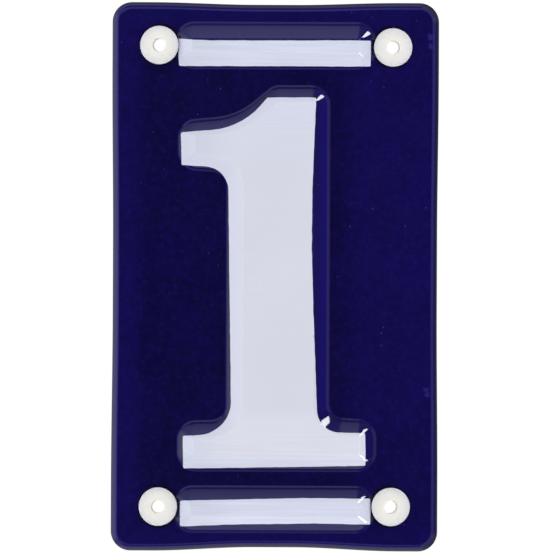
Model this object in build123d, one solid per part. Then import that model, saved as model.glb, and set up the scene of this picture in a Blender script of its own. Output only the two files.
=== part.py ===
from build123d import *
import math
import os

# An upright house number plaque: a pressed, enamelled sheet with a raised figure 1 between two raised bars,
# white enamel on the raised parts, and a grommet in each corner hole.
# Outlines are drawn as seen from the front, X to the right and Z up, and heights stand out from the wall.

os.makedirs("parts", exist_ok=True)

# Plate outline before its corners are rounded: the sides bend in a little at their middles
PLATE_WIDTH = 71.5
PLATE_HEIGHT = 120.35
LONG_SIDE_BEND = 0.3
TOP_SIDE_BEND = 0.6
BOTTOM_SIDE_BEND = 1.1
CORNER_RADIUS = 4.3

# Sheet, and its rim rolled back to the wall: round edges are given by their inner radius
SHEET = 0.9
RIM_INNER_RADIUS = 0.7
RIM_DEPTH = 2.8

# Pressed relief: its height, the slope of its walls, the rounding of its foot, shoulder and plateau corners,
# how deep its block is rooted in the sheet before they are joined, and how close to a height counts as level
RELIEF_HEIGHT = 2.5
WALL_ANGLE = 40.0
FOOT_RADIUS = 1.9
SHOULDER_INNER_RADIUS = 0.3
PLATEAU_CORNER = 0.2
INNER_CORNER = 0.2
RELIEF_ROOT = 0.4
LEVEL_ROOM = 0.01

# Corner holes, and the grommet in each
HOLE_INSET_X = 10.25
HOLE_INSET_Z = 9.875
BORE = 3.2
BARREL = 5.0
BARREL_CLEARANCE = 0.1
BARREL_END_GAP = 0.3
LIP_HOLD = 0.25
LIP_LAND = 0.35
LIP_GAP = 0.1
SEAT_WIDTH = 0.5
FLANGE = 8.4
FLANGE_EDGE = 0.5
FLANGE_RISE = 0.7
FLANGE_BULGE = 0.17
FLANGE_ROUND = 0.2
FLANGE_CLEARANCE = 0.08

# Bars, measured along the line where the relief leaves the flat sheet: their ends run a little under the flanges
BAR_HEIGHT = 10.7
BAR_UNDER_FLANGE = 0.9
TOP_BAR_GAP = 4.3
BOTTOM_BAR_GAP = 4.1

# Figure, measured along the same line
FIGURE_TOP_GAP = 3.1
FIGURE_BOTTOM_GAP = 2.7
STEM_WIDTH = 23.0
STEM_SHIFT = 0.7
BASE_WIDTH = 43.4
BASE_SHIFT = 0.6
BASE_HEIGHT = 11.3
FLAG_REACH = 10.5
FLAG_HEIGHT = 11.0
FLAG_DROP = 7.8
FLAG_RISE = 1.2
FLAG_FALL = 0.7
NECK_REACH = 2.3
NECK_RUN = 7.9
NECK_RADIUS = 13.0

# White enamel: its thickness, and how far its edge stays inside the relief's line on each side
COAT = 0.12
FIGURE_COAT_TOP = 2.9
FIGURE_COAT_BOTTOM = 1.05
BASE_COAT_TOP = 2.8
BASE_COAT_LEFT = 1.1
BASE_COAT_RIGHT = 2.3
BASE_COAT_TILT = 0.65
BASE_COAT_DROP = 0.45
STEM_COAT_LEFT = 0.7
STEM_COAT_LEAN = 0.5
STEM_COAT_RIGHT = 3.4
STEM_COAT_WAIST = 0.9
STEM_COAT_FLARE = 0.65
FLAG_COAT_LEFT = 1.0
FLAG_COAT_TOP = 2.6
BROW_COAT = 0.75
TOP_BAR_COAT_ABOVE = 4.05
TOP_BAR_COAT_BELOW = 0.9
BOTTOM_BAR_COAT_ABOVE = 3.35
BOTTOM_BAR_COAT_BELOW = 1.95
BOTTOM_BAR_COAT_TILT = 1.2
BAR_COAT_GAP = 0.3
BOTTOM_BAR_COAT_LEFT_GAP = 0.85
COAT_CORNER = 0.3
COAT_INNER_CORNER = 3.6
COAT_NECK_RADIUS = 18.0
COAT_WAIST_RADIUS = 500.0

# Sizes that follow for the plate
half_width = PLATE_WIDTH / 2
half_height = PLATE_HEIGHT / 2
rim_radius = RIM_INNER_RADIUS + SHEET
shoulder_radius = SHOULDER_INNER_RADIUS + SHEET
slope = math.tan(math.radians(WALL_ANGLE))
half_slope = math.tan(math.radians(WALL_ANGLE / 2))
foot_tangent = FOOT_RADIUS * half_slope
wall_run = foot_tangent + RELIEF_HEIGHT / slope + shoulder_radius * half_slope
outer_corner = wall_run + PLATEAU_CORNER
inner_corner = FOOT_RADIUS + SHEET + INNER_CORNER

# Sizes that follow for the holes and grommets: the flange is dished to clear the foot of the bar beside it
hole_x = half_width - HOLE_INSET_X
hole_z = half_height - HOLE_INSET_Z
hole_radius = BARREL / 2 + BARREL_CLEARANCE
flange_side = hole_x - FLANGE / 2
foot_rise = FOOT_RADIUS - math.sqrt(FOOT_RADIUS**2 - BAR_UNDER_FLANGE**2)
flange_lift = foot_rise + FLANGE_CLEARANCE

# Places that follow for the bars and the figure
bar_end = flange_side + BAR_UNDER_FLANGE
top_bar_high = half_height - TOP_BAR_GAP
top_bar_low = top_bar_high - BAR_HEIGHT
bottom_bar_low = BOTTOM_BAR_GAP - half_height
bottom_bar_high = bottom_bar_low + BAR_HEIGHT
figure_top = top_bar_low - FIGURE_TOP_GAP
figure_bottom = bottom_bar_high + FIGURE_BOTTOM_GAP
stem_left = STEM_SHIFT - STEM_WIDTH / 2
stem_right = STEM_SHIFT + STEM_WIDTH / 2
base_left = BASE_SHIFT - BASE_WIDTH / 2
base_right = BASE_SHIFT + BASE_WIDTH / 2
base_top = figure_bottom + BASE_HEIGHT
flag_left = stem_left - FLAG_REACH
flag_top = figure_top - FLAG_DROP
flag_bottom = flag_top - FLAG_HEIGHT
neck = stem_left + NECK_REACH
brow = neck + NECK_RUN


def rounded_outline(corners):
    """A face from corners given as (x, z, radius), each rounded by an arc."""
    points = [(x, z) for x, z, radius in corners]
    radii = [radius for x, z, radius in corners]
    return make_face(FilletPolyline(*points, radius=radii, close=True))


def box_outline(left, right, low, high, radius):
    """A rectangle with rounded corners."""
    corners = [(left, low), (right, low), (right, high), (left, high)]
    return rounded_outline([(x, z, radius) for x, z in corners])


def plate_outline(inset):
    """The plate's outline moved in by inset, with bent sides and rounded corners."""
    wide = half_width - inset
    tall = half_height - inset
    low_side = ThreePointArc((-wide, -tall), (0, BOTTOM_SIDE_BEND - tall), (wide, -tall))
    right_side = ThreePointArc((wide, -tall), (wide - LONG_SIDE_BEND, 0), (wide, tall))
    high_side = ThreePointArc((wide, tall), (0, tall - TOP_SIDE_BEND), (-wide, tall))
    left_side = ThreePointArc((-wide, tall), (LONG_SIDE_BEND - wide, 0), (-wide, -tall))
    face = make_face([low_side, right_side, high_side, left_side])
    return fillet(face.vertices(), CORNER_RADIUS - inset)


def figure_relief():
    """The figure along the line where its walls leave the flat sheet, from the flag's tip and down."""
    return rounded_outline(
        [
            (flag_left, flag_top, outer_corner),
            (flag_left, flag_bottom, outer_corner),
            (stem_left, flag_bottom - FLAG_FALL, inner_corner),
            (stem_left, base_top, inner_corner),
            (base_left, base_top, outer_corner),
            (base_left, figure_bottom, outer_corner),
            (base_right, figure_bottom, outer_corner),
            (base_right, base_top, outer_corner),
            (stem_right, base_top, inner_corner),
            (stem_right, figure_top, outer_corner),
            (brow, figure_top, outer_corner),
            (neck, flag_top + FLAG_RISE, NECK_RADIUS),
        ]
    )


def figure_coat():
    """The white on the figure, in the same order: it sits left and low on the relief, with a waist on the right."""
    left = stem_left + STEM_COAT_LEFT
    right = stem_right - STEM_COAT_RIGHT
    high = figure_top - FIGURE_COAT_TOP
    low = figure_bottom + FIGURE_COAT_BOTTOM
    shelf = base_top - BASE_COAT_TOP
    tip = flag_left + FLAG_COAT_LEFT
    tip_high = flag_top - FLAG_COAT_TOP
    tip_low = flag_bottom + FIGURE_COAT_BOTTOM
    foot_left = base_left + BASE_COAT_LEFT
    foot_right = base_right - BASE_COAT_RIGHT
    return rounded_outline(
        [
            (tip, tip_high, COAT_CORNER),
            (tip, tip_low, COAT_CORNER),
            (left, tip_low - FLAG_FALL, COAT_INNER_CORNER),
            (left + STEM_COAT_LEAN, shelf, COAT_INNER_CORNER),
            (foot_left, shelf - BASE_COAT_DROP, COAT_CORNER),
            (foot_left, low - BASE_COAT_TILT / 2, COAT_CORNER),
            (foot_right, low + BASE_COAT_TILT / 2, COAT_CORNER),
            (foot_right, shelf, COAT_CORNER),
            (right + STEM_COAT_FLARE, shelf, COAT_INNER_CORNER),
            (right - STEM_COAT_WAIST, (high + shelf) / 2, COAT_WAIST_RADIUS),
            (right, high, COAT_CORNER),
            (brow - BROW_COAT, high, COAT_CORNER),
            (neck + STEM_COAT_LEFT, tip_high + FLAG_RISE, COAT_NECK_RADIUS),
        ]
    )


def top_bar_coat():
    """The white on the upper bar."""
    end = flange_side - BAR_COAT_GAP
    low = top_bar_low + TOP_BAR_COAT_BELOW
    high = top_bar_high - TOP_BAR_COAT_ABOVE
    return box_outline(-end, end, low, high, COAT_CORNER)


def bottom_bar_coat():
    """The white on the lower bar, which sits a little askew."""
    left = BOTTOM_BAR_COAT_LEFT_GAP - flange_side
    right = flange_side - BAR_COAT_GAP
    low = bottom_bar_low + BOTTOM_BAR_COAT_BELOW
    high = bottom_bar_high - BOTTOM_BAR_COAT_ABOVE
    half_length = (right - left) / 2
    half_depth = (high - low) / 2
    middle = Pos((left + right) / 2, (low + high) / 2, 0)
    level = box_outline(-half_length, half_length, -half_depth, half_depth, COAT_CORNER)
    return middle * Rot(0, 0, BOTTOM_BAR_COAT_TILT) * level


reliefs = [
    figure_relief(),
    box_outline(-bar_end, bar_end, top_bar_low, top_bar_high, outer_corner),
    box_outline(-bar_end, bar_end, bottom_bar_low, bottom_bar_high, outer_corner),
]


def flat_front(form, height):
    """The flat face that a form has at a height above the wall."""
    level = form.faces().filter_by(Plane.XY)
    return level.filter_by_position(Axis.Z, height - LEVEL_ROOM, height + LEVEL_ROOM)[0]


def ridge(relief, face_height, set_back):
    """One relief on the flat front: a block rooted in the sheet, its sides cut to the slope, its shoulder rounded."""
    foot = offset(relief, RELIEF_ROOT / slope - foot_tangent - set_back * half_slope)
    block = extrude(Pos(0, 0, face_height - 2 * RELIEF_ROOT) * foot, RELIEF_HEIGHT + 2 * RELIEF_ROOT)
    top = block.faces().sort_by(Axis.Z)[-1]
    wall = RELIEF_HEIGHT + RELIEF_ROOT
    sloped = chamfer(top.edges(), length=wall / slope, length2=wall, reference=top)
    shoulder = sloped.faces().sort_by(Axis.Z)[-1].edges()
    return fillet(shoulder, shoulder_radius - set_back)


def pressed_form(set_back):
    """The solid from the wall out to the sheet's front, or set back from it by the sheet's thickness.

    Both keep the same middle of every bend, so the sheet between them has one thickness throughout.
    """
    face_height = RIM_DEPTH - set_back
    form = extrude(Pos(0, 0, -set_back) * plate_outline(set_back), face_height + set_back)
    for relief in reliefs:
        form += ridge(relief, face_height, set_back)
    feet = [edge for wire in flat_front(form, face_height).inner_wires() for edge in wire.edges()]
    form = fillet(feet, FOOT_RADIUS + set_back)
    return fillet(flat_front(form, face_height).outer_wire().edges(), rim_radius - set_back)


def coat(form, outline):
    """A thin coat on a form inside an outline: the form stood forward by the coat, less the form."""
    prism = extrude(outline, RIM_DEPTH + RELIEF_HEIGHT + COAT)
    return (Pos(0, 0, COAT) * form & prism) - form


def grommet():
    """A grommet turned about its axis: a dished flange, a barrel through the sheet and a lip behind it."""
    bore = BORE / 2
    barrel = BARREL / 2
    lip = hole_radius + LIP_HOLD
    flange = FLANGE / 2
    lip_front = RIM_DEPTH - SHEET - LIP_GAP
    edge_back = RIM_DEPTH + flange_lift
    edge_front = edge_back + FLANGE_EDGE
    crown = edge_front + FLANGE_RISE
    side = Polyline(
        (bore, crown),
        (bore, BARREL_END_GAP),
        (barrel, BARREL_END_GAP),
        (lip, lip_front - LIP_LAND),
        (lip, lip_front),
        (barrel, lip_front),
        (barrel, RIM_DEPTH),
        (barrel + SEAT_WIDTH, RIM_DEPTH),
        (flange, edge_back),
        (flange, edge_front),
    )
    dome_middle = ((flange + bore) / 2, (edge_front + crown) / 2 + FLANGE_BULGE)
    dome = ThreePointArc((flange, edge_front), dome_middle, (bore, crown))
    turned = revolve(Plane.XZ * make_face([side, dome]), Axis.Z)
    front_edges = turned.edges().filter_by_position(Axis.Z, edge_front, crown)
    return fillet(front_edges, FLANGE_ROUND)


def save(shape, name):
    """Stand a shape up, with its front to -Y, and write it as a node."""
    export_step(Plane.XZ * shape, f"parts/{name}.step")
    print(name, round(shape.volume, 2), "cubic mm")


front_form = pressed_form(0)
plate = front_form - pressed_form(SHEET)
hole_places = {
    "top_left": (-hole_x, hole_z),
    "top_right": (hole_x, hole_z),
    "bottom_left": (-hole_x, -hole_z),
    "bottom_right": (hole_x, -hole_z),
}
for x, z in hole_places.values():
    plate -= extrude(Pos(x, z, 0) * Circle(hole_radius), RIM_DEPTH + RELIEF_HEIGHT)
save(plate, "number_plate")

save(coat(front_form, figure_coat()), "white_figure")
save(coat(front_form, top_bar_coat()), "white_top_bar")
save(coat(front_form, bottom_bar_coat()), "white_bottom_bar")

turned_grommet = grommet()
for place, (x, z) in hole_places.items():
    save(Pos(x, z, 0) * turned_grommet, f"grommet_{place}")
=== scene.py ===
# %% [markdown]
# A house number plaque: a sheet of steel pressed into a raised 1 between two raised bars, dipped in
# blue enamel, with white enamel on what stands up and a plastic grommet in each corner. The packed
# model is loaded first. It is the frame that every piece below is made in, in metres: X to the right, Z
# up, and -Y out of the plaque's front. Its box is kept, so that the finished pieces can be held against
# it.

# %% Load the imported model
import math
from collections import Counter
import bpy
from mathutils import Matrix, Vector, noise as wander


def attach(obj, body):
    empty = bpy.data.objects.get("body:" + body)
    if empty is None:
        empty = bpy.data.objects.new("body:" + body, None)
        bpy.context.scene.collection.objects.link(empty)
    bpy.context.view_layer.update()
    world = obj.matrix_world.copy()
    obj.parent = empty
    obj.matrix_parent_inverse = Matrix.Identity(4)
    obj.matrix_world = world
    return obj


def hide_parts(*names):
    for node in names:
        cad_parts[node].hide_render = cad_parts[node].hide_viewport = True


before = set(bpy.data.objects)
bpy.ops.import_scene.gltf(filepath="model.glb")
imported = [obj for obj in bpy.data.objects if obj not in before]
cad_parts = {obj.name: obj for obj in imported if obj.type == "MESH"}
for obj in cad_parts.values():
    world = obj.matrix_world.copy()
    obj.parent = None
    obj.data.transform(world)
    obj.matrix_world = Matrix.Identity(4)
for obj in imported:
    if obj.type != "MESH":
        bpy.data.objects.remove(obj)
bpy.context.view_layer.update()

MM = 0.001

# %% [markdown]
# Modelling by operators means choosing what an operator acts on, again and again. A few small helpers
# keep that readable: one picks the object to work on, another picks faces or edges of it by a rule and
# goes into edit mode. Everything else is let go first, because an operator takes all that is selected.


# %% Helpers to choose what is worked on
def take(piece):
    """Makes one object the only selected one, and the active one."""
    bpy.ops.object.select_all(action="DESELECT")
    piece.select_set(True)
    bpy.context.view_layer.objects.active = piece


def edit(piece, kind="FACE", rule=None):
    """Goes into edit mode with the faces or edges chosen that a rule says yes to, or with all."""
    take(piece)
    bpy.ops.object.mode_set(mode="EDIT")
    bpy.ops.mesh.select_mode(type=kind)
    bpy.ops.mesh.select_all(action="DESELECT" if rule else "SELECT")
    if rule:
        bpy.ops.object.mode_set(mode="OBJECT")
        parts = piece.data.edges if kind == "EDGE" else piece.data.polygons
        for part in parts:
            part.select = rule(part)
        bpy.ops.object.mode_set(mode="EDIT")


def leave():
    """Goes back to object mode."""
    bpy.ops.object.mode_set(mode="OBJECT")


def set_in_place():
    """Puts the active object's place, turn and size into its mesh."""
    bpy.ops.object.transform_apply(location=True, rotation=True, scale=True)


# %% [markdown]
# Every form here is drawn by its corners, as a maker would mark them out. An arc is laid in each
# corner, from where the one side leaves its line to where the next side takes it up. A circle with as
# many points as that gives is then added and filled, and its points are put in place. The arcs are true
# circles, because a bevel's arcs are only so in square corners, and a slope that is inset from them
# needs an even distance to the rounding's middle. Long runs can be divided, so that they bend.

# %% Helpers to draw a form by its corners
CORNER_FULL = 1.5 * MM
STEP_ANGLE = 6
FEWEST_STEPS = 3
FACING_FRONT = (math.pi / 2, 0, 0)


def rounded(corners):
    """The points of an outline, from its corners given as (x, z, radius) in the order they are met."""
    points = []
    for place, (x, z, radius) in enumerate(corners):
        x_before, z_before, _ = corners[place - 1]
        x_after, z_after, _ = corners[(place + 1) % len(corners)]
        heading = math.atan2(z - z_before, x - x_before)
        turn = math.atan2(z_after - z, x_after - x) - heading
        turn = (turn + math.pi) % (2 * math.pi) - math.pi
        tangent = radius * math.tan(abs(turn) / 2)
        reach = math.copysign(radius, turn)
        middle_x = x - tangent * math.cos(heading) - reach * math.sin(heading)
        middle_z = z - tangent * math.sin(heading) + reach * math.cos(heading)
        full_steps = math.degrees(abs(turn)) / STEP_ANGLE
        steps = max(FEWEST_STEPS, round(full_steps * min(1, radius / CORNER_FULL)))
        for step in range(steps + 1):
            angle = heading + turn * step / steps
            points.append((middle_x + reach * math.sin(angle), middle_z - reach * math.cos(angle)))
    return points


def divided(points, longest):
    """The same outline with more points, so that no run between two of them is longer than a length."""
    finer = []
    for (x, z), (x_next, z_next) in zip(points, points[1:] + points[:1]):
        runs = max(1, math.ceil(math.hypot(x_next - x, z_next - z) / longest))
        for run in range(runs):
            part = run / runs
            finer.append((x + (x_next - x) * part, z + (z_next - z) * part))
    return finer


def draw(name, points, height):
    """A flat face within an outline, at a height out of the wall."""
    bpy.ops.object.select_all(action="DESELECT")
    bpy.ops.mesh.primitive_circle_add(vertices=len(points), fill_type="NGON", rotation=FACING_FRONT)
    form = bpy.context.object
    form.name = name
    set_in_place()
    for index, (x, z) in zip(form.data.polygons[0].vertices, points):
        form.data.vertices[index].co = (x, -height, z)
    return form


def drawn_box(left, right, low, high, radius):
    """The corners of a rounded rectangle, from the upper left and down."""
    return [(left, high, radius), (left, low, radius), (right, low, radius), (right, high, radius)]


# %% [markdown]
# The plate begins as its outline, a rounded rectangle in the wall's plane. Pressing the relief draws
# the sides of such a sheet in beside it, while the corners stay out, so the sides are divided and each
# point moves in by the sag at its place. A face with many corners is fine here, because it is flat and
# is built up from its edge.

# %% Plate outline
PLATE_WIDTH = 71.38 * MM
PLATE_TOP = 60.02 * MM
PLATE_BOTTOM = -59.89 * MM
LONG_SIDE_SAG = 0.26 * MM
TOP_SIDE_SAG = 0.5 * MM
BOTTOM_SIDE_SAG = 0.82 * MM
SAG_START = 0.13
SAG_END = 0.75
CORNER_RADIUS = 4.3 * MM
SIDE_STEP = 1.8 * MM


def sag(part):
    """How much of its sag a side has at a part of the way from its middle to its end."""
    gone = min(1, max(0, (abs(part) - SAG_START) / (SAG_END - SAG_START)))
    return 1 - gone * gone * (3 - 2 * gone)


plate_outline = []
plate_corners = drawn_box(-PLATE_WIDTH / 2, PLATE_WIDTH / 2, PLATE_BOTTOM, PLATE_TOP, CORNER_RADIUS)
for x, z in divided(rounded(plate_corners), SIDE_STEP):
    across = 2 * x / PLATE_WIDTH
    up = z / PLATE_TOP
    end_sag = TOP_SIDE_SAG if up > 0 else BOTTOM_SIDE_SAG
    plate_outline.append((x - LONG_SIDE_SAG * across * sag(up), z - end_sag * up * sag(across)))
plate = draw("pressed_plate", plate_outline, 0)
print("the plate's outline has", len(plate.data.vertices), "points")

# %% [markdown]
# The rim is rolled back to the wall. From the wall plane the outline is extruded straight forward, and
# then inset again and again with a little depth each time, so that the steps follow a quarter circle.
# Insetting keeps every ring parallel to the one before, also round the corners, which scaling wouldn't
# do. The faces that close the ends, front and back, are deleted: what is left is the rim alone.

# %% Rolled rim
SHEET = 0.9 * MM
RIM_DEPTH = 2.8 * MM
RIM_RADIUS = 1.6 * MM
RIM_STEPS = 12
QUARTER_TURN = 90
QUAD = 4


def follow(profile):
    """Insets the chosen face along a profile of (distance in, height) points."""
    for (run, rise), (next_run, next_rise) in zip(profile, profile[1:]):
        bpy.ops.mesh.inset(thickness=next_run - run, depth=next_rise - rise, use_even_offset=True)


def arc(radius, first, last, steps):
    """Points on a circle about the origin, between two angles in degrees."""
    angles = [math.radians(first + (last - first) * step / steps) for step in range(steps + 1)]
    return [(radius * math.cos(angle), radius * math.sin(angle)) for angle in angles]


def extrude(depth):
    """Extrudes what is chosen along Y, which is away from the front."""
    bpy.ops.mesh.extrude_region_move(TRANSFORM_OT_translate={"value": (0, depth, 0)})


def many_cornered(face):
    """Whether a face has more corners than a quad."""
    return len(face.vertices) > QUAD


def open_ends(piece):
    """Deletes the many-cornered faces of a piece and keeps their edges."""
    edit(piece, "FACE", many_cornered)
    bpy.ops.mesh.delete(type="ONLY_FACE")
    leave()


edit(plate)
extrude(RIM_RADIUS - RIM_DEPTH)
follow([(RIM_RADIUS - x, z) for x, z in arc(RIM_RADIUS, 0, QUARTER_TURN, RIM_STEPS)])
leave()
open_ends(plate)
print("the rim has", len(plate.data.polygons), "faces")

# %% [markdown]
# The relief is one S-shaped slope round every raised form: a hollow foot, a wall that steepens
# slightly, and a round shoulder. A press never leaves the wall quite straight, and the slight curve is
# what makes the light run along it. The slope is worked out once here, as distance in from the outline
# and height above the sheet.

# %% Slope of the relief
RELIEF_HEIGHT = 2.5 * MM
FOOT_RADIUS = 1.9 * MM
SHOULDER_RADIUS = 0.7 * MM
FOOT_ANGLE = 34
WALL_ANGLE = 40
FOOT_STEPS = 9
WALL_STEPS = 6
SHOULDER_STEPS = 9
DOWN = 270
UP = 90

foot = arc(FOOT_RADIUS, DOWN, DOWN + FOOT_ANGLE, FOOT_STEPS)
slope = [(x, FOOT_RADIUS + z) for x, z in foot]
shoulder = arc(SHOULDER_RADIUS, UP + WALL_ANGLE, UP, SHOULDER_STEPS)
shoulder = [(x, z - SHOULDER_RADIUS) for x, z in shoulder]
wall_rise = RELIEF_HEIGHT + shoulder[0][1] - slope[-1][1]
for step in range(WALL_STEPS):
    angle = math.radians(FOOT_ANGLE + (WALL_ANGLE - FOOT_ANGLE) * (step + 0.5) / WALL_STEPS)
    run, rise = slope[-1]
    slope.append((run + wall_rise / WALL_STEPS / math.tan(angle), rise + wall_rise / WALL_STEPS))
start_run, start_rise = slope[-1]
for run, rise in shoulder[1:]:
    slope.append((start_run + run - shoulder[0][0], start_rise + rise - shoulder[0][1]))
slope_run = slope[-1][0]
print("the slope is", round(slope_run / MM, 2), "mm wide and", round(slope[-1][1] / MM, 2), "mm high")

# %% [markdown]
# The figure and the two bars stand in a column. Their lines are where the slope leaves the flat sheet.
# Outer corners have a radius just over the slope's width, so that the rings shrink to almost a point at
# the top, as the mitred corners of the real relief do. Inner corners open up instead, and the neck
# under the brow is one wide curve. The base's upper lines fall a little towards its ends.

# %% Lines of the figure and the bars
OUTER_CORNER = slope_run + 0.18 * MM
INNER_CORNER = 3.0 * MM
NECK_RADIUS = 14.8 * MM
STEM_LEFT = -10.95 * MM
STEM_RIGHT = 12.2 * MM
BASE_LEFT = -21.6 * MM
BASE_RIGHT = 22.5 * MM
FIGURE_TOP = 42.075 * MM
FIGURE_BOTTOM = -42.675 * MM
BASE_TOP_LEFT = -31.0 * MM
BASE_TOP_RIGHT = -30.35 * MM
BASE_FALL_LEFT = 0.3 * MM
BASE_FALL_RIGHT = 0.65 * MM
FLAG_LEFT = -21.55 * MM
FLAG_TOP = 34.275 * MM
FLAG_BOTTOM = 23.275 * MM
FLAG_RISE = 1.2 * MM
FLAG_FALL = 0.7 * MM
NECK = -8.5 * MM
BROW = -0.6 * MM
BAR_END = 22.2 * MM
TOP_BAR = (45.175 * MM, 55.875 * MM)
BOTTOM_BAR = (-56.075 * MM, -45.375 * MM)

figure_lines = [
    (FLAG_LEFT, FLAG_TOP, OUTER_CORNER),
    (FLAG_LEFT, FLAG_BOTTOM, OUTER_CORNER),
    (STEM_LEFT, FLAG_BOTTOM - FLAG_FALL, INNER_CORNER),
    (STEM_LEFT, BASE_TOP_LEFT, INNER_CORNER),
    (BASE_LEFT, BASE_TOP_LEFT - BASE_FALL_LEFT, OUTER_CORNER),
    (BASE_LEFT, FIGURE_BOTTOM, OUTER_CORNER),
    (BASE_RIGHT, FIGURE_BOTTOM, OUTER_CORNER),
    (BASE_RIGHT, BASE_TOP_RIGHT - BASE_FALL_RIGHT, OUTER_CORNER),
    (STEM_RIGHT, BASE_TOP_RIGHT, INNER_CORNER),
    (STEM_RIGHT, FIGURE_TOP, OUTER_CORNER),
    (BROW, FIGURE_TOP, OUTER_CORNER),
    (NECK, FLAG_TOP + FLAG_RISE, NECK_RADIUS),
]
raised = {
    "figure": figure_lines,
    "top_bar": drawn_box(-BAR_END, BAR_END, *TOP_BAR, OUTER_CORNER),
    "bottom_bar": drawn_box(-BAR_END, BAR_END, *BOTTOM_BAR, OUTER_CORNER),
}
reliefs = []
for name, corners in raised.items():
    form = draw(name, rounded(corners), RIM_DEPTH)
    edit(form)
    follow(slope)
    leave()
    reliefs.append(form)
    print(name, "is raised with", len(form.data.polygons), "faces")

# %% [markdown]
# Four holes take the grommets, punched by hand and so a few tenths of a millimetre out of square. The
# rim, the raised forms and the holes are joined into one mesh, and the flat sheet between them is
# filled from its edges: the fill reads loops within a loop as openings. The tops of the raised forms,
# which still have many corners, are divided into triangles, so that they can be cut later. This is the
# whole front of the sheet, still without thickness, and its faces have to look forward, which the print
# confirms.

# %% Flat sheet between the forms
HOLE_X = 25.5 * MM
HOLE_Z = 50.3 * MM
HOLE_RADIUS = 2.6 * MM
HOLE_POINTS = 72
FLAT_ROOM = 0.01 * MM
SAME_PLACE = 0.001 * MM
SIDEWAYS = 0.01
hole_places = {
    "top_left": (-HOLE_X + 0.33 * MM, HOLE_Z + 0.32 * MM),
    "top_right": (HOLE_X - 0.07 * MM, HOLE_Z - 0.05 * MM),
    "bottom_left": (-HOLE_X + 0.29 * MM, -HOLE_Z + 0.02 * MM),
    "bottom_right": (HOLE_X - 0.32 * MM, -HOLE_Z + 0.21 * MM),
}
rings = []
for x, z in hole_places.values():
    bpy.ops.object.select_all(action="DESELECT")
    bpy.ops.mesh.primitive_circle_add(
        vertices=HOLE_POINTS, radius=HOLE_RADIUS, location=(x, -RIM_DEPTH, z), rotation=FACING_FRONT
    )
    rings.append(bpy.context.object)
    set_in_place()
take(plate)
for piece in [*reliefs, *rings]:
    piece.select_set(True)
bpy.ops.object.join()
counts = Counter(key for face in plate.data.polygons for key in face.edge_keys)
shared = {key for key, count in counts.items() if count > 1}


def on_the_flat(edge):
    """Whether an edge lies in the flat sheet's plane and has a face on one side at most."""
    heights = [plate.data.vertices[i].co.y for i in edge.vertices]
    return edge.key not in shared and all(abs(height + RIM_DEPTH) < FLAT_ROOM for height in heights)


edit(plate, "EDGE", on_the_flat)
bpy.ops.mesh.fill(use_beauty=True)
bpy.ops.mesh.select_all(action="SELECT")
bpy.ops.mesh.remove_doubles(threshold=SAME_PLACE)
bpy.ops.mesh.normals_make_consistent(inside=False)
leave()
edit(plate, "FACE", many_cornered)
bpy.ops.mesh.quads_convert_to_tris(ngon_method="BEAUTY")
leave()
forward = sum(face.normal.y < SIDEWAYS for face in plate.data.polygons)
print(forward, "of the front's", len(plate.data.polygons), "faces look forward or sideways")

# %% [markdown]
# The white enamel lies on the raised forms and stops part of the way down their slopes, a little askew,
# as a stencil leaves it. The stencils' corners are in millimetres, as x and z, each with its radius.
# Long slight bends are corners of a great radius.

# %% Stencil lines of the white fields
SHARP = 0.3
BENT = 150.0
figure_stencil = [
    (-20.58, 31.50, SHARP),
    (-20.46, 24.42, SHARP),
    (-10.27, 23.92, 5.4),
    (-9.35, -34.30, 7.4),
    (-19.95, -34.74, SHARP),
    (-19.88, -41.85, SHARP),
    (19.93, -41.10, SHARP),
    (19.80, -33.98, SHARP),
    (9.42, -33.90, 5.2),
    (7.61, 12.25, 444.0),
    (8.87, 39.17, SHARP),
    (-1.73, 39.17, SHARP),
    (-7.50, 32.50, 15.9),
]
top_bar_stencil = [
    (-21.24, 52.08, SHARP),
    (-21.15, 46.05, SHARP),
    (20.72, 46.10, SHARP),
    (20.74, 51.68, SHARP),
    (-17.50, 51.55, 60.0),
]
bottom_bar_stencil = [
    (-20.50, -48.88, SHARP),
    (-20.56, -54.48, SHARP),
    (-9.00, -53.98, BENT),
    (10.00, -53.68, BENT),
    (21.02, -53.95, SHARP),
    (21.0, -48.32, SHARP),
    (7.00, -48.24, BENT),
]
stencils = {"figure": figure_stencil, "top_bar": top_bar_stencil, "bottom_bar": bottom_bar_stencil}
print("stencils drawn for", ", ".join(stencils))

# %% [markdown]
# Each white field starts as a copy of the sheet's front. A ribbon along the stencil's outline cuts
# through that copy with the Intersect operator, and the faces outside the outline are deleted, with the
# ribbon. A face is judged by the middle of its largest triangle, which lies within it also where the
# face is hollow. Enamel is brushed clean along a stencil by hand, so the outline wanders by a few
# hundredths of a millimetre, by a noise with a seed of its own. Thickness comes last.

# %% Cut the white fields out of copies of the relief
RIBBON_FRONT = 6.5 * MM
RIBBON_BACK = 1.5 * MM
RIBBON_FACING = 0.1
CUT_SAME_PLACE = 0.008 * MM
WOBBLE = 0.06 * MM
WOBBLE_LENGTH = 1.8 * MM
WOBBLE_STEP = 0.7 * MM
WOBBLE_SEED = 7
wander.seed_set(WOBBLE_SEED)


def wobbled(points):
    """The same outline, moved a little to and fro, as a hand leaves an edge."""
    laid = []
    for x, z in divided(points, WOBBLE_STEP):
        drift = wander.noise_vector((x / WOBBLE_LENGTH, 0, z / WOBBLE_LENGTH))
        laid.append((x + WOBBLE * drift.x, z + WOBBLE * drift.z))
    return laid


def inside(outline, x, z):
    """Whether a point lies within an outline: a line to its right meets an odd number of edges."""
    found = False
    for (x_start, z_start), (x_end, z_end) in zip(outline, outline[1:] + outline[:1]):
        if (z_start > z) != (z_end > z):
            x_meeting = x_start + (z - z_start) * (x_end - x_start) / (z_end - z_start)
            found = found != (x < x_meeting)
    return found


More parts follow.
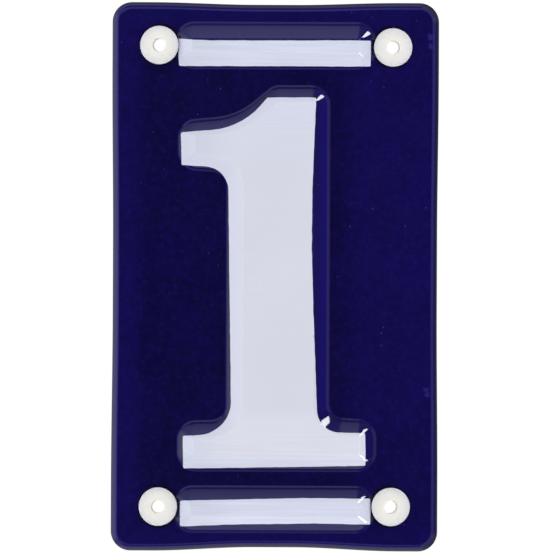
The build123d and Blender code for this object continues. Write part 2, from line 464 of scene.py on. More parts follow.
def copy_of(piece, name):
    """A copy of an object, with a mesh of its own."""
    take(piece)
    bpy.ops.object.duplicate()
    copy = bpy.context.object
    copy.name = name
    return copy


white_fields = {}
for name, corners in stencils.items():
    field = copy_of(plate, f"white_enamel_{name}")
    outline = wobbled(rounded([(x * MM, z * MM, radius * MM) for x, z, radius in corners]))
    ribbon = draw("ribbon", outline, RIBBON_FRONT)
    edit(ribbon)
    extrude(RIBBON_FRONT - RIBBON_BACK)
    leave()
    open_ends(ribbon)
    field_faces = len(field.data.polygons)
    take(field)
    ribbon.select_set(True)
    bpy.ops.object.join()
    edit(field, "FACE", lambda face: face.index >= field_faces)
    bpy.ops.mesh.intersect(mode="SELECT_UNSELECT", separate_mode="NONE", solver="EXACT")
    leave()
    middles = {}
    field.data.calc_loop_triangles()
    for triangle in sorted(field.data.loop_triangles, key=lambda triangle: triangle.area):
        middles[triangle.polygon_index] = triangle.center

    def spare(face):
        """Whether a face belongs to the ribbon or lies outside the outline."""
        return abs(face.normal.y) < RIBBON_FACING or not inside(outline, *middles[face.index].xz)

    edit(field, "FACE", spare)
    bpy.ops.mesh.delete(type="FACE")
    leave()
    edit(field)
    bpy.ops.mesh.remove_doubles(threshold=CUT_SAME_PLACE)
    bpy.ops.mesh.delete_loose(use_verts=True, use_edges=True, use_faces=False)
    leave()
    white_fields[name] = field
    print(field.name, "is cut out with", len(field.data.polygons), "faces")

# %% [markdown]
# Solidify turns the open skins into sheets: the plate inwards, so that its front stays where it is, and
# the enamel outwards, so that it stands on the plate. The plate has an even offset, which keeps one
# thickness through all the bends. The coat is so thin that it goes plainly along the normals, because
# the slivers that a cut leaves can throw an even offset into spikes. The plate's back and cut edge get
# the second material slot on the way. The enamel's upper edge is then rounded by a small bevel, because
# fired enamel draws back from a sharp edge. Weighted normals keep the large flat faces flat in the
# shading.

# %% Thickness
COAT = 0.1 * MM
COAT_EDGE = 0.04 * MM
EDGE_STEPS = 2
FRONT_SLOT = 0
BACK_SLOT = 1
SMOOTH_ANGLE = 40
FLAT_FACE_WEIGHT = 60


def thicken(skin, thickness, outward, back_slot):
    """Gives a skin a thickness and returns how many faces its front has."""
    front_faces = len(skin.data.polygons)
    take(skin)
    sheet = skin.modifiers.new("thickness", "SOLIDIFY")
    sheet.thickness = thickness
    sheet.offset = 1 if outward else -1
    sheet.use_even_offset = not outward
    sheet.material_offset = back_slot
    sheet.material_offset_rim = back_slot
    bpy.ops.object.modifier_apply(modifier=sheet.name)
    return front_faces


def smooth(piece, angle=SMOOTH_ANGLE):
    """Shades a piece smooth up to an angle, with normals led by its larger faces."""
    take(piece)
    bpy.ops.object.shade_smooth_by_angle(angle=math.radians(angle))
    even = piece.modifiers.new("even shading", "WEIGHTED_NORMAL")
    even.weight = FLAT_FACE_WEIGHT
    even.keep_sharp = True
    bpy.ops.object.modifier_apply(modifier=even.name)


for field in white_fields.values():
    front_faces = thicken(field, COAT, True, FRONT_SLOT)
    sides = {key for face in field.data.polygons[2 * front_faces:] for key in face.edge_keys}
    tops = {key for face in field.data.polygons[:front_faces] for key in face.edge_keys}
    edit(field, "EDGE", lambda edge: edge.key in sides and edge.key in tops)
    bpy.ops.mesh.bevel(offset=COAT_EDGE, segments=EDGE_STEPS, affect="EDGES", clamp_overlap=False)
    leave()
    smooth(field)
    print(field.name, "has", len(field.data.polygons), "faces")
for name in ("blue_enamel_front", "ground_coat_back"):
    plate.data.materials.append(bpy.data.materials.new(name))
thicken(plate, SHEET, False, BACK_SLOT)
smooth(plate)
print(plate.name, "has", len(plate.data.polygons), "faces")

# %% [markdown]
# A grommet is turned about its axis: a flange with a low dome, a barrel through the sheet, and a lip
# behind it that snaps it in. Half its section is drawn by corners, as the relief was, and spun once
# round. Spinning can turn a shape inside out, so doubles are merged and the normals recalculated. The
# four are copies of one, each with its own mesh. The bars' feet push at the flanges' inner sides, so
# each grommet sits a few degrees askew, and its bore shows a sliver of wall on the outer side.

# %% Grommets
BORE_RADIUS = 1.46 * MM
BORE_END_RADIUS = 1.37 * MM
BARREL_RADIUS = 2.48 * MM
LIP_RADIUS = 2.75 * MM
FLANGE_RADIUS = 4.2 * MM
SEAT_RADIUS = 2.9 * MM
DOME_PLACE = 2.9 * MM
BARREL_END = 0.4 * MM
LIP_TIP = 1.1 * MM
LIP_TOP = 1.65 * MM
LIP_ROOT = 1.68 * MM
SEAT = 2.93 * MM
FLANGE_BELOW = 3.2 * MM
FLANGE_ABOVE = 3.6 * MM
DOME = 4.14 * MM
CROWN = 4.26 * MM
SPIN_STEPS = 72
SPUN_SAME_PLACE = 0.002 * MM
GROMMET_SMOOTH_ANGLE = 50
section_corners = [
    (BORE_RADIUS, CROWN, 0.16 * MM),
    (BORE_END_RADIUS, BARREL_END, 0.1 * MM),
    (BARREL_RADIUS, BARREL_END, 0.15 * MM),
    (LIP_RADIUS, LIP_TIP, 0.15 * MM),
    (LIP_RADIUS, LIP_TOP, 0.05 * MM),
    (BARREL_RADIUS, LIP_ROOT, 0.05 * MM),
    (BARREL_RADIUS, SEAT, 0.05 * MM),
    (SEAT_RADIUS, SEAT, 0.1 * MM),
    (FLANGE_RADIUS, FLANGE_BELOW, 0.12 * MM),
    (FLANGE_RADIUS, FLANGE_ABOVE, 0.3 * MM),
    (DOME_PLACE, DOME, 5.0 * MM),
]
section = draw("grommet", rounded(section_corners), 0)
edit(section)
bpy.ops.mesh.delete(type="ONLY_FACE")
bpy.ops.mesh.select_mode(type="EDGE")
bpy.ops.mesh.select_all(action="SELECT")
bpy.ops.mesh.spin(steps=SPIN_STEPS, angle=2 * math.pi, center=(0, 0, 0), axis=(0, 0, 1))
bpy.ops.mesh.select_all(action="SELECT")
bpy.ops.mesh.remove_doubles(threshold=SPUN_SAME_PLACE)
bpy.ops.mesh.normals_make_consistent(inside=False)
leave()
section.rotation_euler = FACING_FRONT
take(section)
set_in_place()
leans = {
    "top_left": (-4.6, 0.5),
    "top_right": (3.6, 0.1),
    "bottom_left": (-2.8, -1.3),
    "bottom_right": (5.0, 0.2),
}
grommets = {}
for place, (x, z) in hole_places.items():
    piece = copy_of(section, f"nylon_grommet_{place}")
    aside, upward = leans[place]
    piece.rotation_euler = (math.radians(upward), 0, math.radians(aside))
    piece.location = (x, 0, z)
    set_in_place()
    smooth(piece, GROMMET_SMOOTH_ANGLE)
    grommets[place] = piece
take(section)
bpy.ops.object.delete()
print("four grommets of", len(piece.data.polygons), "faces each")

# %% [markdown]
# Every new piece stands for the imported node that it was made over, which is hidden, moves with the
# one body, and is listed with the name of its finish.

# %% Pieces take the nodes' places
stand_ins = {plate: ("number_plate", "blue_enamel")}
for name, field in white_fields.items():
    stand_ins[field] = (f"white_{name}", "white_enamel")
for place, piece in grommets.items():
    stand_ins[piece] = (f"grommet_{place}", "grommet_plastic")
for piece, (node, finish) in stand_ins.items():
    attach(piece, "root")
    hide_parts(node)
    print(piece.name, "stands for", node)

# %% [markdown]
# The finishes come next. Each is one glossy shader with patterns on the object's own coordinates, which
# are metres, so a noise scale of 500 gives marks of about two millimetres. These helpers add the parts
# that all of them use. A range is a pair, and a value is carried from one pair to another: most of a
# noise, say, to the roughest and the smoothest gloss.

# %% Helpers for the finishes
RISE = (0, 1)
FALL = (1, 0)
MOST = (0.3, 0.7)
OPAQUE = 1
MIX_INPUTS = {"share": 0, "first": 6, "second": 7}
MIX_RESULT = 2


def node(tree, kind, **settings):
    """Adds a shader node and sets its properties and inputs, named with spaces as underscores."""
    made = tree.nodes.new(kind)
    for name, value in settings.items():
        if hasattr(made, name):
            setattr(made, name, value)
        else:
            made.inputs[name.replace("_", " ")].default_value = value
    return made


def put(tree, socket, value):
    """Gives a socket a value: another socket, a number or a colour."""
    if hasattr(value, "links"):
        tree.links.new(value, socket)
    else:
        socket.default_value = (*value, OPAQUE) if isinstance(value, tuple) else value


def axes_of(tree, place):
    """The three coordinates of a place, one by one."""
    split = tree.nodes.new("ShaderNodeSeparateXYZ")
    tree.links.new(place, split.inputs[0])
    return split.outputs["X"], split.outputs["Y"], split.outputs["Z"]


def noise(tree, place, scale, detail=2.0, rough=0.5):
    """A soft noise on the object's coordinates."""
    made = node(tree, "ShaderNodeTexNoise", Scale=scale, Detail=detail, Roughness=rough)
    tree.links.new(place, made.inputs["Vector"])
    return made.outputs["Fac"]


def ramp(tree, value, stops):
    """A colour ramp with the given (position, colour) stops, where a colour can be a level of grey."""
    made = tree.nodes.new("ShaderNodeValToRGB")
    band = made.color_ramp
    while len(band.elements) < len(stops):
        band.elements.new(1.0)
    for element, (position, colour) in zip(band.elements, stops):
        shade = colour if isinstance(colour, tuple) else (colour, colour, colour)
        element.position = position
        element.color = (*shade, OPAQUE)
    tree.links.new(value, made.inputs["Fac"])
    return made.outputs["Color"]


def blend(tree, share, first, second, way="MIX"):
    """Mixes two colours, each a socket or a fixed colour, by a share."""
    made = node(tree, "ShaderNodeMix", data_type="RGBA", blend_type=way)
    for index, value in zip(MIX_INPUTS.values(), (share, first, second)):
        put(tree, made.inputs[index], value)
    return made.outputs[MIX_RESULT]


def sums(tree, operation, first, second=0):
    """A calculation with two values, each a socket or a number."""
    made = node(tree, "ShaderNodeMath", operation=operation)
    for socket, value in zip(made.inputs, (first, second)):
        put(tree, socket, value)
    return made.outputs[0]


def chain(tree, operation, *values):
    """One calculation carried through several values, such as the product of them all."""
    total = values[0]
    for value in values[1:]:
        total = sums(tree, operation, total, value)
    return total


def spread(tree, value, span, levels):
    """Carries a value smoothly from one range to another."""
    made = node(tree, "ShaderNodeMapRange", interpolation_type="SMOOTHSTEP")
    tree.links.new(value, made.inputs["Value"])
    for name, number in zip(("From Min", "From Max", "To Min", "To Max"), (*span, *levels)):
        made.inputs[name].default_value = number
    return made.outputs["Result"]


def nearest_of(tree, place, middles, height):
    """The distance to the nearest of some points (x, z), at a height out of the wall."""
    distances = []
    for x, z in middles:
        gap = node(tree, "ShaderNodeVectorMath", operation="DISTANCE")
        tree.links.new(place, gap.inputs[0])
        gap.inputs[1].default_value = (x, -height, z)
        distances.append(gap.outputs["Value"])
    return chain(tree, "MINIMUM", *distances)


def flecks(tree, place, scale, reach, strength, channel, chosen):
    """Small round marks in some cells of a pattern, picked by a channel of their random colours."""
    cells = node(tree, "ShaderNodeTexVoronoi", Scale=scale)
    tree.links.new(place, cells.inputs["Vector"])
    chance = tree.nodes.new("ShaderNodeSeparateColor")
    tree.links.new(cells.outputs["Color"], chance.inputs[0])
    marks = spread(tree, cells.outputs["Distance"], reach, (strength, 0))
    return sums(tree, "MULTIPLY", marks, spread(tree, chance.outputs[channel], chosen, RISE))


def relief_of(tree, shader, layers):
    """Stacks bumps on a shader, given as (height socket, depth in metres)."""
    below = None
    for height, depth in layers:
        bump = node(tree, "ShaderNodeBump", Strength=1.0, Distance=depth)
        tree.links.new(height, bump.inputs["Height"])
        if below:
            tree.links.new(below, bump.inputs["Normal"])
        below = bump.outputs["Normal"]
    tree.links.new(below, shader.inputs["Normal"])


def start_finish(name):
    """A material by name, made if need be, with its tree, its shader and the object's coordinates."""
    finish = bpy.data.materials.get(name) or bpy.data.materials.new(name)
    finish.use_nodes = True
    tree = finish.node_tree
    place = tree.nodes.new("ShaderNodeTexCoord").outputs["Object"]
    return finish, tree, tree.nodes["Principled BSDF"], place


print("helpers for the finishes are set")

# %% [markdown]
# Blue enamel is coloured glass fused to steel. Its colour follows the place on the plate: darkest
# beside the relief, and paler by the left rim, on the right-hand field, less so low down, and by both
# ends. A cloudy mottle and a fine grain move it up and down from there.

# %% Blue enamel, darker beside the relief
INNER_BLUE = (0.0006, 0.0, 0.031)
OUTER_BLUE = (0.0046, 0.0014, 0.083)
LEFT_FIELD = (-33.5 * MM, -26 * MM)
RIGHT_FIELD = (10 * MM, 22 * MM)
RIGHT_FIELD_LOW = (-40 * MM, -10 * MM)
LOW_SHARE = (0.5, 1)
END_FIELDS = (50 * MM, 57.5 * MM)
CLOUD_SCALE = 110
CLOUD = (-0.11, 0.11)
GRAIN_SCALE = 900
GRAIN_RANGE = (0.25, 0.75)
GRAIN = (-0.27, 0.27)
RAMP_PART = (0.25, 0.75)

_, tree, shader, place = start_finish("blue_enamel_front")
along_x, along_y, along_z = axes_of(tree, place)
from_middle = sums(tree, "ABSOLUTE", along_z)
to_left = spread(tree, along_x, LEFT_FIELD, FALL)
to_right = spread(tree, along_x, RIGHT_FIELD, RISE)
to_right = sums(tree, "MULTIPLY", to_right, spread(tree, along_z, RIGHT_FIELD_LOW, LOW_SHARE))
to_ends = spread(tree, from_middle, END_FIELDS, RISE)
# darker beside the relief, paler towards the left rim, the right-hand field and both ends
paler_share = spread(tree, chain(tree, "MAXIMUM", to_left, to_right, to_ends), RISE, RAMP_PART)
cloud = spread(tree, noise(tree, place, CLOUD_SCALE, detail=3), MOST, CLOUD)
grain = spread(tree, noise(tree, place, GRAIN_SCALE, detail=3, rough=0.7), GRAIN_RANGE, GRAIN)
paler_share = sums(tree, "ADD", paler_share, sums(tree, "ADD", cloud, grain))
glaze = ramp(tree, paler_share, [(0, INNER_BLUE), (1, OUTER_BLUE)])
print("the blue's depth uses", len(tree.nodes), "nodes")

# %% [markdown]
# Where the sheet bends, painted light makes the blue paler: on the slopes, most of all on the stem's
# right-hand slope near its foot, as light from the right would, in a painted highlight along every
# foot, and on the rolled rim. At the rim's outer edge the enamel draws back from the steel and is dark,
# less so at the left. All of this follows the height, which is -Y.

# %% Painted light on the blue enamel's bends
SLOPE_PAINTED_LIGHT = (0.0042, 0.0012, 0.088)
STEM_SIDE_PAINTED_LIGHT = (0.0042, 0.0010, 0.118)
FOOT_PAINTED_HIGHLIGHT = (0.0042, 0.0010, 0.086)
RIM_PAINTED_LIGHT = (0.0055, 0.0018, 0.108)
EDGE_BLUE = (0.006, 0.005, 0.03)
SLOPES = (-2.7 * MM, -3.7 * MM)
STEM_SIDE = (8.5 * MM, 10 * MM)
STEM_SIDE_FOOT = (-2.84 * MM, -3 * MM)
STEM_SIDE_MIDDLE = (-3.8 * MM, -4.3 * MM)
STEM_SIDE_BOTTOM = (-31 * MM, -28 * MM)
STEM_SIDE_TOP = (42 * MM, 43 * MM)
FOOT_START = (-2.803 * MM, -2.815 * MM)
FOOT_END = (-2.89 * MM, -2.97 * MM)
RIM = (-2.8 * MM, -2.78 * MM)
OUTER_EDGE = (-2.77 * MM, -2.2 * MM)
LEFT_EDGE = (-34 * MM, -31 * MM)
LEFT_EDGE_SHARE = (0.4, 1)

# painted light: the slopes are made paler
glaze = blend(tree, spread(tree, along_y, SLOPES, RISE), glaze, SLOPE_PAINTED_LIGHT)
# painted light on the stem's right-hand slope, as from the lamps at the right
lit_stem_side = chain(
    tree, "MULTIPLY",
    spread(tree, along_x, STEM_SIDE, RISE),
    spread(tree, along_y, STEM_SIDE_FOOT, RISE),
    spread(tree, along_y, STEM_SIDE_MIDDLE, FALL),
    spread(tree, along_z, STEM_SIDE_BOTTOM, RISE),
    spread(tree, along_z, STEM_SIDE_TOP, FALL),
)
glaze = blend(tree, lit_stem_side, glaze, STEM_SIDE_PAINTED_LIGHT)
# painted highlight: a pale line along the foot of every slope
after_start = spread(tree, along_y, FOOT_START, RISE)
foot_highlight = sums(tree, "MULTIPLY", after_start, spread(tree, along_y, FOOT_END, FALL))
glaze = blend(tree, foot_highlight, glaze, FOOT_PAINTED_HIGHLIGHT)
# painted light: the rolled rim is made paler
on_rim = spread(tree, along_y, RIM, RISE)
glaze = blend(tree, on_rim, glaze, RIM_PAINTED_LIGHT)
off_left = spread(tree, along_x, LEFT_EDGE, LEFT_EDGE_SHARE)
on_edge = sums(tree, "MULTIPLY", spread(tree, along_y, OUTER_EDGE, RISE), off_left)
glaze = blend(tree, on_edge, glaze, EDGE_BLUE)
print("with the bends it uses", len(tree.nodes), "nodes")

# %% [markdown]
# The blue has its marks: a painted shadow, nearly black, in a ring round each flange's edge, two pale
# places by the right rim where it is rubbed, a dust of faint dots, and a few pale specks. The rubbed
# places are ragged, because a noise is added to their distance. Dots and specks are the middles of a
# cell pattern's cells, in some cells only.

# %% Marks and painted shadow in the blue enamel
FLANGE_SHADOW_BLUE = (0.0004, 0.0002, 0.006)
RUBBED_BLUE = (0.022, 0.018, 0.15)
DUST_BLUE = (0.011, 0.008, 0.13)
SPECK_BLUE = (0.034, 0.032, 0.140)
FLANGE_SHADOW_RING = (4.45 * MM, 4.8 * MM)
FLANGE_SHADOW_SHARE = (0.25, 1)
RUBBED = (0.2 * MM, 0.9 * MM)
RUBBED_SHARE = (0.8, 0)
RAGGED = (-0.3 * MM, 0.3 * MM)
rubbed_places = [
    (33.2 * MM, -24.5 * MM),
    (33.4 * MM, -25.5 * MM),
    (33.7 * MM, 52.4 * MM),
    (33.9 * MM, 50.8 * MM),
]

from_hole = nearest_of(tree, place, hole_places.values(), RIM_DEPTH)
# painted shadow: a dark ring round each grommet's flange
glaze = blend(tree, spread(tree, from_hole, FLANGE_SHADOW_RING, FLANGE_SHADOW_SHARE), FLANGE_SHADOW_BLUE, glaze)
ragged = spread(tree, noise(tree, place, GRAIN_SCALE), MOST, RAGGED)
from_rubbed = sums(tree, "ADD", nearest_of(tree, place, rubbed_places, RIM_DEPTH), ragged)
glaze = blend(tree, spread(tree, from_rubbed, RUBBED, RUBBED_SHARE), glaze, RUBBED_BLUE)
dust = flecks(tree, place, scale=800, reach=(0.1, 0.5), strength=0.2, channel=1, chosen=(0.6, 0.9))
glaze = blend(tree, dust, glaze, DUST_BLUE)
specks = flecks(tree, place, scale=420, reach=(0.035, 0.085), strength=1, channel=0, chosen=(0.6, 0.8))
glaze = blend(tree, specks, glaze, SPECK_BLUE)
tree.links.new(glaze, shader.inputs["Base Color"])
print("with its marks it uses", len(tree.nodes), "nodes")

# %% [markdown]
# The gloss is that of glass. It is dull at the rim's outer edge, where the coat is thin, and on the
# rim's two right-hand corners, where it is worn. The skin has slow waves and the faint orange peel of
# fired glass, and the specks are tiny pits in it.

# %% Gloss and skin of the blue enamel
GLASS = 1.5
GLOSS_SCALE = 160
GLOSS = (0.045, 0.085)
DULL_EDGE = (-2.6 * MM, -2.0 * MM)
DULL = (0, 0.25)
WORN_SIDE = (31 * MM, 33.5 * MM)
WORN_ENDS = (55 * MM, 57.5 * MM)
WORN_BEND = (-2.4 * MM, -2.1 * MM)
WORN = 0.8
WAVE_SCALE = 45
WAVE_DEPTH = 0.02 * MM
PEEL_SCALE = 420
PEEL_DEPTH = 0.004 * MM
PIT_DEPTH = 0.01 * MM

gloss = spread(tree, noise(tree, place, GLOSS_SCALE, detail=4), MOST, GLOSS)
worn = chain(
    tree, "MULTIPLY",
    spread(tree, along_x, WORN_SIDE, RISE),
    spread(tree, from_middle, WORN_ENDS, RISE),
    on_rim,
    spread(tree, along_y, WORN_BEND, FALL),
    WORN,
)
dulled = sums(tree, "ADD", spread(tree, along_y, DULL_EDGE, DULL), worn)
tree.links.new(sums(tree, "ADD", gloss, dulled), shader.inputs["Roughness"])
shader.inputs["IOR"].default_value = GLASS
waves = noise(tree, place, WAVE_SCALE, detail=1)
peel = noise(tree, place, PEEL_SCALE)
relief_of(tree, shader, [(waves, WAVE_DEPTH), (peel, PEEL_DEPTH), (specks, -PIT_DEPTH)])
print("blue enamel uses", len(tree.nodes), "nodes")

# %% [markdown]
# The back and the cut edge carry only the ground coat, the dull, near-black enamel that goes on first
# and shows a fine pale fleck. It is the one finish here that the front view doesn't show, so it follows
# common practice.

# %% Ground coat
GROUND_DARK = (0.004, 0.0045, 0.012)
GROUND_LIGHT = (0.009, 0.010, 0.024)
GROUND_FLECK = (0.05, 0.055, 0.08)
PATCH_SCALE = 130
FLECK_SCALE = 1500
FLECK_STOPS = [(0.66, 0.0), (0.74, 1.0)]
GROUND_GLOSS_SCALE = 300
GROUND_GLOSS = (0.28, 0.42)
GROUND_SKIN_SCALE = 600
GROUND_SKIN_DEPTH = 0.012 * MM

_, tree, shader, place = start_finish("ground_coat_back")
patches = noise(tree, place, PATCH_SCALE, detail=5, rough=0.6)
patches = ramp(tree, patches, [(0.35, GROUND_DARK), (0.7, GROUND_LIGHT)])
fine_flecks = ramp(tree, noise(tree, place, FLECK_SCALE), FLECK_STOPS)
tree.links.new(blend(tree, fine_flecks, patches, GROUND_FLECK), shader.inputs["Base Color"])
gloss = spread(tree, noise(tree, place, GROUND_GLOSS_SCALE, detail=3), MOST, GROUND_GLOSS)
tree.links.new(gloss, shader.inputs["Roughness"])
relief_of(tree, shader, [(noise(tree, place, GROUND_SKIN_SCALE, detail=3), GROUND_SKIN_DEPTH)])
print("ground coat uses", len(tree.nodes), "nodes")

# %% [markdown]
# White enamel is a cool white with a few faint pits. It is cooler on the bars, on the slopes, at the
# left and at the top. Its level streaks come from the strokes it was laid with, so their noise is
# stretched along X by a Mapping node, and they show most on the bars and least on the stem. The white
# is a little darker at the left and a little lighter on the base. Its skin is as glassy as the blue's.

# %% White enamel
CLOUD_DARK = (0.655, 0.67, 0.763)
CLOUD_LIGHT = (0.677, 0.692, 0.788)
COOL_WHITE = (0.60, 0.69, 0.99)
WHITE_CLOUD_SCALE = 60
PIT_SCALE = 900
PIT_STOPS = [(0.76, 1.0), (0.82, 0.86)]
BARS = (43 * MM, 44.5 * MM)
COOL_ON_BARS = (0, 0.22)
WHITE_SLOPES = (-5.3 * MM, -4.7 * MM)
COOL_ON_SLOPES = (0, 0.2)
WHITE_LEFT = (-20 * MM, -10 * MM)
COOL_AT_LEFT = (0.25, 0)
WHITE_TOP = (20 * MM, 40 * MM)
COOL_AT_TOP = (0, 0.16)
STROKE_STRETCH = (0.025, 1.0, 1.0)
STROKE_SCALE = 2200
STROKE_STOPS = [(0.3, 0.93), (0.7, 1.07)]
STROKE_DEPTH = 0.003 * MM
STROKE_PLACE = (28 * MM, 46 * MM)
STROKE_SHARE = (0.12, 0.8)
DARKER_LEFT_PLACE = (-17.5 * MM, -7 * MM)
DARKER_LEFT_SHARE = (0.935, 1)
BASE_MIDDLE = -37 * MM
LIGHTER_BASE_PLACE = (5 * MM, 9 * MM)
LIGHTER_BASE_SHARE = (1.055, 1)
WHITE_GLOSS_SCALE = 200
WHITE_GLOSS = (0.08, 0.14)

white, tree, shader, place = start_finish("white_enamel_field")
along_x, along_y, along_z = axes_of(tree, place)
from_middle = sums(tree, "ABSOLUTE", along_z)
clouds = ramp(tree, noise(tree, place, WHITE_CLOUD_SCALE), [(0.3, CLOUD_DARK), (0.7, CLOUD_LIGHT)])
pits = ramp(tree, noise(tree, place, PIT_SCALE, detail=1), PIT_STOPS)
tint = blend(tree, 1.0, clouds, pits, "MULTIPLY")
cool = chain(
    tree, "MAXIMUM",
    spread(tree, from_middle, BARS, COOL_ON_BARS),
    spread(tree, along_y, WHITE_SLOPES, COOL_ON_SLOPES),
    spread(tree, along_x, WHITE_LEFT, COOL_AT_LEFT),
    spread(tree, along_z, WHITE_TOP, COOL_AT_TOP),
)
tint = blend(tree, cool, tint, COOL_WHITE)
stretch = node(tree, "ShaderNodeMapping", Scale=STROKE_STRETCH)
tree.links.new(place, stretch.inputs["Vector"])
strokes = noise(tree, stretch.outputs[0], STROKE_SCALE, detail=3)
strokes = ramp(tree, strokes, STROKE_STOPS)
stroked = blend(tree, 1.0, tint, strokes, "MULTIPLY")
tint = blend(tree, spread(tree, from_middle, STROKE_PLACE, STROKE_SHARE), tint, stroked)
# a little darker at the left and a little lighter on the base
darker_left = spread(tree, along_x, DARKER_LEFT_PLACE, DARKER_LEFT_SHARE)
from_base = sums(tree, "ABSOLUTE", sums(tree, "ADD", along_z, -BASE_MIDDLE))
lighter_base = spread(tree, from_base, LIGHTER_BASE_PLACE, LIGHTER_BASE_SHARE)
tint = blend(tree, 1.0, tint, sums(tree, "MULTIPLY", darker_left, lighter_base), "MULTIPLY")
tree.links.new(tint, shader.inputs["Base Color"])
gloss = spread(tree, noise(tree, place, WHITE_GLOSS_SCALE, detail=3), MOST, WHITE_GLOSS)
tree.links.new(gloss, shader.inputs["Roughness"])
shader.inputs["IOR"].default_value = GLASS
relief_of(tree, shader, [(strokes, STROKE_DEPTH), (noise(tree, place, PEEL_SCALE), PEEL_DEPTH)])
for field in white_fields.values():
    field.data.materials.clear()
    field.data.materials.append(white)
print("white enamel uses", len(tree.nodes), "nodes")

# %% [markdown]
# The grommets are moulded nylon: a warm white that lets light in a little way, with a satin skin and
# the slightest cloudiness. Towards the flange's thin edge the blue below shows through, so the colour
# turns cooler away from the axis, which is worked out from the distance to the hole.

# %% Grommet plastic
NYLON_DARK = (0.795, 0.785, 0.745)
NYLON_LIGHT = (0.835, 0.825, 0.785)
NYLON_EDGE = (0.74, 0.735, 0.78)
FLANGE_EDGE = (2.8 * MM, 4.2 * MM)
NYLON_CLOUD_SCALE = 350
NYLON_GLOSS_SCALE = 700
NYLON_GLOSS = (0.27, 0.38)
NYLON_GLOW = 0.7
LIGHT_REACH = 1.6 * MM
NYLON_SKIN_SCALE = 1200
NYLON_SKIN_DEPTH = 0.006 * MM

nylon, tree, shader, place = start_finish("grommet_nylon")
off_axis = nearest_of(tree, place, hole_places.values(), RIM_DEPTH)
cloudy = noise(tree, place, NYLON_CLOUD_SCALE, detail=3)
cloudy = ramp(tree, cloudy, [(0.3, NYLON_DARK), (0.7, NYLON_LIGHT)])
cloudy = blend(tree, spread(tree, off_axis, FLANGE_EDGE, RISE), cloudy, NYLON_EDGE)
tree.links.new(cloudy, shader.inputs["Base Color"])
gloss = spread(tree, noise(tree, place, NYLON_GLOSS_SCALE, detail=3), MOST, NYLON_GLOSS)
tree.links.new(gloss, shader.inputs["Roughness"])
shader.inputs["Subsurface Weight"].default_value = NYLON_GLOW
shader.inputs["Subsurface Radius"].default_value = (LIGHT_REACH, LIGHT_REACH, LIGHT_REACH)
shader.inputs["Subsurface Scale"].default_value = 1.0
relief_of(tree, shader, [(noise(tree, place, NYLON_SKIN_SCALE, detail=3), NYLON_SKIN_DEPTH)])
for piece in grommets.values():
    piece.data.materials.append(nylon)
print("nylon uses", len(tree.nodes), "nodes")

# %% [markdown]
# A pale table top stands below the plaque, which hangs as it would on a wall. For the camera the table
# and the room are white, by the Light Path node, so that no extra light is needed to make them so.

# %% Table top
TABLE_DROP = 0.35
TABLE_RADIUS = 0.25
TABLE_POINTS = 96
TABLE_ROUGHNESS = 0.8
BOARD_SCALE = 30
BOARD_STOPS = [(0.3, 0.78), (0.7, 0.82)]
CAMERA_SHARE = 0.85
bpy.ops.object.select_all(action="DESELECT")
bpy.ops.mesh.primitive_circle_add(
    vertices=TABLE_POINTS, radius=TABLE_RADIUS, fill_type="NGON", location=(0, 0, -TABLE_DROP)
)
table = bpy.context.object
table.name = "pale_table"
set_in_place()
pale, tree, shader, place = start_finish("pale_table")
board = ramp(tree, noise(tree, place, BOARD_SCALE, detail=3), BOARD_STOPS)
tree.links.new(board, shader.inputs["Base Color"])
shader.inputs["Roughness"].default_value = TABLE_ROUGHNESS
glow = node(tree, "ShaderNodeEmission", Color=(1, 1, 1, OPAQUE), Strength=1.0)
path = tree.nodes.new("ShaderNodeLightPath")
mixed = tree.nodes.new("ShaderNodeMixShader")
tree.links.new(sums(tree, "MULTIPLY", path.outputs["Is Camera Ray"], CAMERA_SHARE), mixed.inputs[0])
tree.links.new(shader.outputs[0], mixed.inputs[1])
tree.links.new(glow.outputs[0], mixed.inputs[2])
tree.links.new(mixed.outputs[0], tree.nodes["Material Output"].inputs["Surface"])
table.data.materials.append(pale)
print("table top set", TABLE_DROP, "m below the plaque")

# %% [markdown]
# Gloss shows the room, so the room is drawn by direction: how far up or down, and how far to the side,
# a ray leaves the camera's axis. It is dark round the camera and behind the plaque. Pale panels lie
# above and below, which end towards the sides and are weaker to the right, with a bright wall at the
# left and a faint one at the right. Matt colour gets a soft light from all round instead, as in a light
# tent: more from the edges than from the front, so that slopes are as bright as flat faces, and a
# little more from below. Sampling of the room is left to the surfaces, because the Light Path node
# tells only their own rays apart.

# %% Room
BLACK = (0, 0, 0)
WHITE = (1, 1, 1)
DIM = (0.07, 0.07, 0.07)
FRONT_LIGHT = 0.9
EDGE_LIGHT = 0.5
LOW_LIGHT = 0.18
FULL_TURN = 360
RAMP_MIDDLE = 0.5
PANEL_SIDES = (0.5, 1.1)
PANEL_RIGHT = (0.04, 0.3)
PANEL_RIGHT_SHARE = (1, 0.3)
WALL_ENDS = (0.3, 0.8)
WALL_END_SHARE = (1, 0.5)
up_levels = [
    (-180, 0.15), (-130, 0.35), (-95, 0.5), (-80, 0.48), (-66, 0.66), (-58, 0.6),
    (-52, 0.1), (-36, 0.08), (-31, 0.35), (-14, 0.48), (-9, 0.08), (8, 0.08),
    (11, 0.6), (30, 0.72), (36, 0.18), (58, 0.18), (67, 0.6), (74, 0.86),
    (84, 0.95), (98, 0.6), (115, 0.3), (180, 0.15),
]
side_levels = [
    (-180, 0.15), (-135, 0.5), (-95, 1.3), (-50, 1.35), (-34, 0.9), (-22, 0.28),
    (-12, 0.07), (7, 0.06), (14, 0.25), (38, 0.5), (54, 0.4), (64, 0.12),
    (95, 0.12), (115, 0.25), (180, 0.15),
]


def by_angle(tree, along, ahead, levels):
    """Brightness by the angle between a ray and the camera's axis, from (degrees, level) pairs."""
    turns = sums(tree, "DIVIDE", sums(tree, "ARCTAN2", along, ahead), 2 * math.pi)
    stops = [(RAMP_MIDDLE + degrees / FULL_TURN, level) for degrees, level in levels]
    return ramp(tree, sums(tree, "ADD", turns, RAMP_MIDDLE), stops)


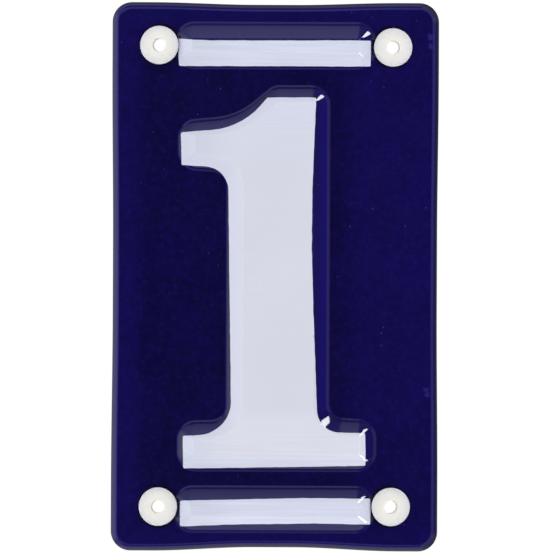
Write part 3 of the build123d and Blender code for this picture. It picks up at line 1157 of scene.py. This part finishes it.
world = bpy.data.worlds.new("studio")
bpy.context.scene.world = world
world.use_nodes = True
world.cycles.sampling_method = "NONE"
tree = world.node_tree
way = tree.nodes.new("ShaderNodeTexCoord")
along_x, along_y, along_z = axes_of(tree, way.outputs["Generated"])
ahead = sums(tree, "MULTIPLY", along_y, -1)
steep = sums(tree, "ABSOLUTE", sums(tree, "DIVIDE", along_z, along_x))
rightward = sums(tree, "DIVIDE", along_x, sums(tree, "ABSOLUTE", along_z))
panels = by_angle(tree, along_z, ahead, up_levels)
panels = blend(tree, spread(tree, steep, PANEL_SIDES, RISE), BLACK, panels)
panels = blend(tree, spread(tree, rightward, PANEL_RIGHT, PANEL_RIGHT_SHARE), BLACK, panels)
walls = by_angle(tree, along_x, ahead, side_levels)
walls = blend(tree, spread(tree, steep, WALL_ENDS, WALL_END_SHARE), BLACK, walls)
room = blend(tree, 1.0, panels, walls, "LIGHTEN")
room = blend(tree, 1.0, room, DIM, "LIGHTEN")
tent = sums(tree, "MULTIPLY", sums(tree, "SUBTRACT", 1, ahead), EDGE_LIGHT)
tent = sums(tree, "ADD", tent, FRONT_LIGHT)
tent = sums(tree, "SUBTRACT", tent, sums(tree, "MULTIPLY", along_z, LOW_LIGHT))
path = tree.nodes.new("ShaderNodeLightPath")
room = blend(tree, path.outputs["Is Diffuse Ray"], room, tent)
room = blend(tree, path.outputs["Is Camera Ray"], room, WHITE)
tree.links.new(room, tree.nodes["Background"].inputs["Color"])
tree.nodes["Background"].inputs["Strength"].default_value = 1.0
print("room drawn with", len(up_levels) + len(side_levels), "levels")

# %% [markdown]
# Two lamps stand at the right, high and low, well to the side. They put the small hard glints on the
# right-hand corners of the relief. A small lamp makes a thin glint, because each corner is part of a
# cone, which shows the lamp as a wedge of the lamp's own width.


# %% Lamps
def lamp(name, place, width, height, radiance):
    """An oblong lamp of a given brightness, turned to the plaque."""
    light = bpy.data.lights.new(name, "AREA")
    light.shape = "RECTANGLE"
    light.size = width
    light.size_y = height
    light.energy = radiance * math.pi * width * height
    holder = bpy.data.objects.new(name, light)
    holder.location = place
    holder.rotation_euler = (-Vector(place)).to_track_quat("-Z", "Y").to_euler()
    holder.visible_camera = False
    holder.visible_diffuse = False
    bpy.context.scene.collection.objects.link(holder)


lamp("upper_right", place=(0.504, -0.199, 0.444), width=0.11, height=0.165, radiance=19)
lamp("lower_right", place=(0.264, -0.083, -0.246), width=0.055, height=0.06, radiance=14)
print("two lamps at the right")

# %% [markdown]
# The camera stands straight in front, far enough off for the picture to be almost without perspective.
# The lens is worked out from the width that the picture takes in at the plaque's face, and the camera
# leans by a fraction of a degree, as the plaque does in the picture.

# %% Camera
CAMERA_DISTANCE = 1.6
CAMERA_RIGHT = 0.35 * MM
CAMERA_UP = 0.13 * MM
CAMERA_LEAN = -0.22
PICTURE_WIDTH = 120.8 * MM
SENSOR_WIDTH = 36
view = bpy.data.cameras.new("photo_view")
view.sensor_width = SENSOR_WIDTH
view.lens = view.sensor_width * (CAMERA_DISTANCE - RIM_DEPTH) / PICTURE_WIDTH
camera = bpy.data.objects.new("photo_view", view)
camera.location = (CAMERA_RIGHT, -CAMERA_DISTANCE, CAMERA_UP)
camera.rotation_euler = (math.pi / 2, math.radians(CAMERA_LEAN), 0)
bpy.context.scene.collection.objects.link(camera)
bpy.context.scene.camera = camera
bpy.context.scene.view_settings.view_transform = "Standard"
print("lens of", round(view.lens), "mm")
